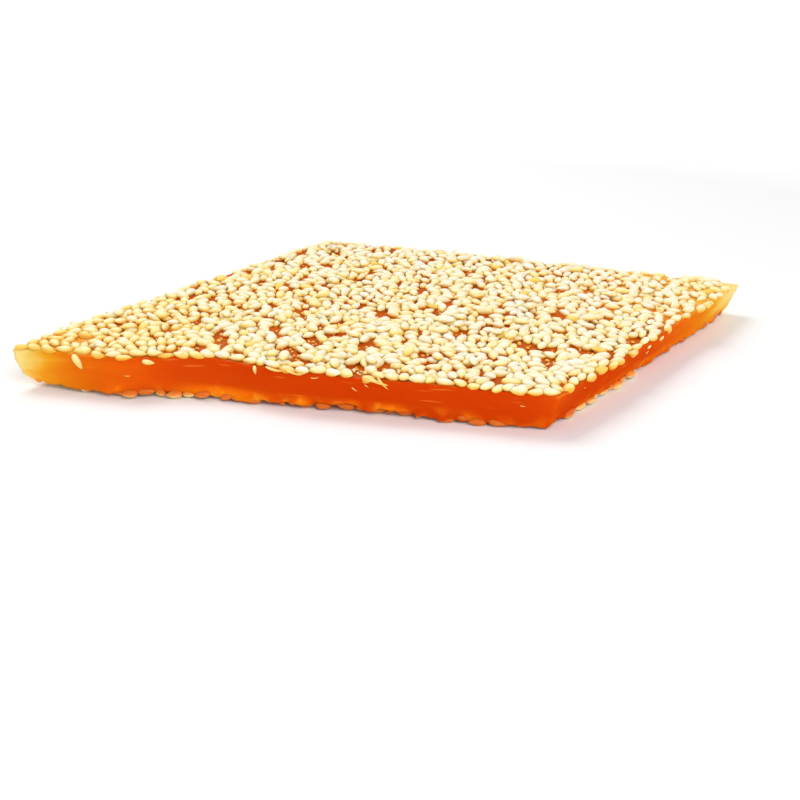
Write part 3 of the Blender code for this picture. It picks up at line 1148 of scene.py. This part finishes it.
def sesame_material(name, stops, film_and_shade_stops, softness):
    """Hulled sesame: its colours by tone, those where it meets the candy, painted golden shade low on its
    sides and near the candy, and how soft light makes it.
    """
    tree = Tree(bpy.data.materials.new(name))
    mottle = tree.math("MULTIPLY", tree.centred(tree.noise(900)), MOTTLE)
    tone = tree.math("ADD", tree.attribute("tone"), mottle)
    tip = tree.math("POWER", tree.math("ABSOLUTE", tree.attribute("along")), TIP_POWER)
    tone = tree.math("ADD", tone, tree.math("MULTIPLY", tip, TIP_TONE))
    # Painted golden shade, strongest low on a seed's sides and fading to its crown.
    side = tree.math("SUBTRACT", 1.0, tree.attribute("crown"))
    tone = tree.math("MULTIPLY_ADD", side, SIDE_SHADE_TONE, tone, clamp=True)
    # The film near the candy: the candy coat, and painted warm shade.
    uneven = tree.math("MULTIPLY", tree.centred(tree.noise(700)), FILM_UNEVEN)
    clear = tree.math("ADD", tree.attribute("film"), uneven, clamp=True)
    body = tree.mix(clear, tree.ramp(tone, film_and_shade_stops), tree.ramp(tone, stops))
    tree.link(body, tree.shader.inputs["Base Color"])
    tree.set(
        Subsurface_Weight=softness, Subsurface_Radius=(1.0, 0.84, 0.56), Subsurface_Scale=0.0012,
        IOR=1.46, Specular_IOR_Level=0.25,
    )
    tree.roughness(tree.noise(1500), 0.36, 0.52)
    tree.bump(tree.noise(2600), distance=0.00005, strength=0.6)
    return tree.owner


# ---- stage


CAMERA_PLACE = (-0.0013, -0.2359, 0.0903)
CAMERA_TILT = 66.0
LENS = 51.75


def add_camera():
    data = bpy.data.cameras.new("camera")
    data.lens = LENS
    data.clip_start = 0.01
    data.clip_end = 20.0
    camera = put("camera", data, CAMERA_PLACE)
    camera.rotation_euler = (radians(CAMERA_TILT), 0.0, 0.0)
    bpy.context.scene.camera = camera


def area_light(name, place, target, size, power, spread=180):
    data = bpy.data.lights.new(name, "AREA")
    data.shape = "RECTANGLE"
    data.size, data.size_y = size
    data.energy = power
    data.spread = radians(spread)
    light = put(name, data, place)
    light.rotation_euler = (Vector(target) - Vector(place)).to_track_quat("-Z", "Y").to_euler()


# The sky's brightness near the horizon, and from about a quarter of the way up.
SKY = ((0.21, (1.0,) * 3), (0.45, (0.40,) * 3))
# The floor's glow far from the piece: between which distances it grows, and from what to what.
FLOOR_GLOW = (0.18, 0.55, 0.0, 0.80)


def add_stage():
    bpy.ops.mesh.primitive_plane_add(size=12.0)
    floor = bpy.context.object
    floor.name = "floor"
    tree = Tree(bpy.data.materials.new("floor_white"))
    tree.set(Base_Color=(0.90, 0.90, 0.90, 1.0), Emission_Color=(1.0, 1.0, 1.0, 1.0))
    tree.set(Roughness=0.6, Specular_IOR_Level=0.1)
    length = tree.add("ShaderNodeVectorMath", operation="LENGTH")
    tree.link(tree.add("ShaderNodeTexCoord").outputs["Object"], length.inputs[0])
    far = tree.add("ShaderNodeMapRange")
    for key, value in zip(("From Min", "From Max", "To Min", "To Max"), FLOOR_GLOW):
        far.inputs[key].default_value = value
    tree.link(length.outputs["Value"], far.inputs["Value"])
    tree.link(far.outputs["Result"], tree.shader.inputs["Emission Strength"])
    floor.data.materials.append(tree.owner)
    world = Tree(bpy.data.worlds.new("studio"), "Background")
    way = world.add("ShaderNodeSeparateXYZ")
    world.link(world.add("ShaderNodeTexCoord").outputs["Generated"], way.inputs[0])
    world.link(world.ramp(way.outputs["Z"], SKY), world.shader.inputs["Color"])
    bpy.context.scene.world = world.owner
    area_light("key", (-0.25, 0.30, 0.55), (0, 0, 0), (0.35, 0.35), 2.45)
    area_light("fill", (0.20, -0.42, 0.40), (0, 0, 0), (0.40, 0.40), 2.0)
    area_light("background", (0.0, 0.90, 0.8), (0.0, 0.9, 0.0), (1.6, 0.6), 12.0, spread=60)
    bpy.context.scene.view_settings.view_transform = "Standard"


# ---- the piece


SEED_NUMBER = 17


def main():
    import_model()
    add_camera()
    add_stage()

    rng = np.random.default_rng(SEED_NUMBER)
    top = top_seeds(rng)
    bottom = bottom_seeds(rng)
    sesame = sesame_material("sesame", CREAM, CREAM_FILM_AND_SHADE, 0.5)
    hull = sesame_material("sesame_hull", CREAM, CREAM_FILM_AND_SHADE, 0.0)
    glazed = sesame_material("sesame_in_candy", GLAZED, GLAZED_FILM_AND_SHADE, 0.5)

    split = top["tone"] < np.median(top["tone"])
    on_top = (
        seed_piece("sesame_seeds_pale", FINE_SEED, chosen(top, split), rng),
        seed_piece("sesame_seeds_golden", FINE_SEED, chosen(top, ~split), rng),
        seed_piece("hull_flakes", FINE_SEED, hull_flakes(top, rng), rng),
        seed_piece("sesame_crumbs", CRUMB_MESH, sesame_crumbs(top, rng), rng),
    )
    under = seed_piece("sesame_seeds_under", PLAIN_SEED, bottom, rng)
    sheet, caps = amber_sheet(top, bottom)

    for piece in on_top:
        piece.data.materials.append(sesame if "seeds" in piece.name else hull)
        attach(piece, "root")
        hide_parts("sesame_top")
    under.data.materials.append(glazed)
    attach(under, "root")
    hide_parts("sesame_bottom")

    sheet.data.materials.append(amber_material("amber_candy_face", False))
    sheet.data.materials.append(amber_material("amber_candy_cut", True))
    slots = np.zeros(len(sheet.data.polygons), np.int32)
    slots[caps:] = 1
    sheet.data.polygons.foreach_set("material_index", slots)
    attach(sheet, "root")
    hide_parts("amber_sheet")


main()
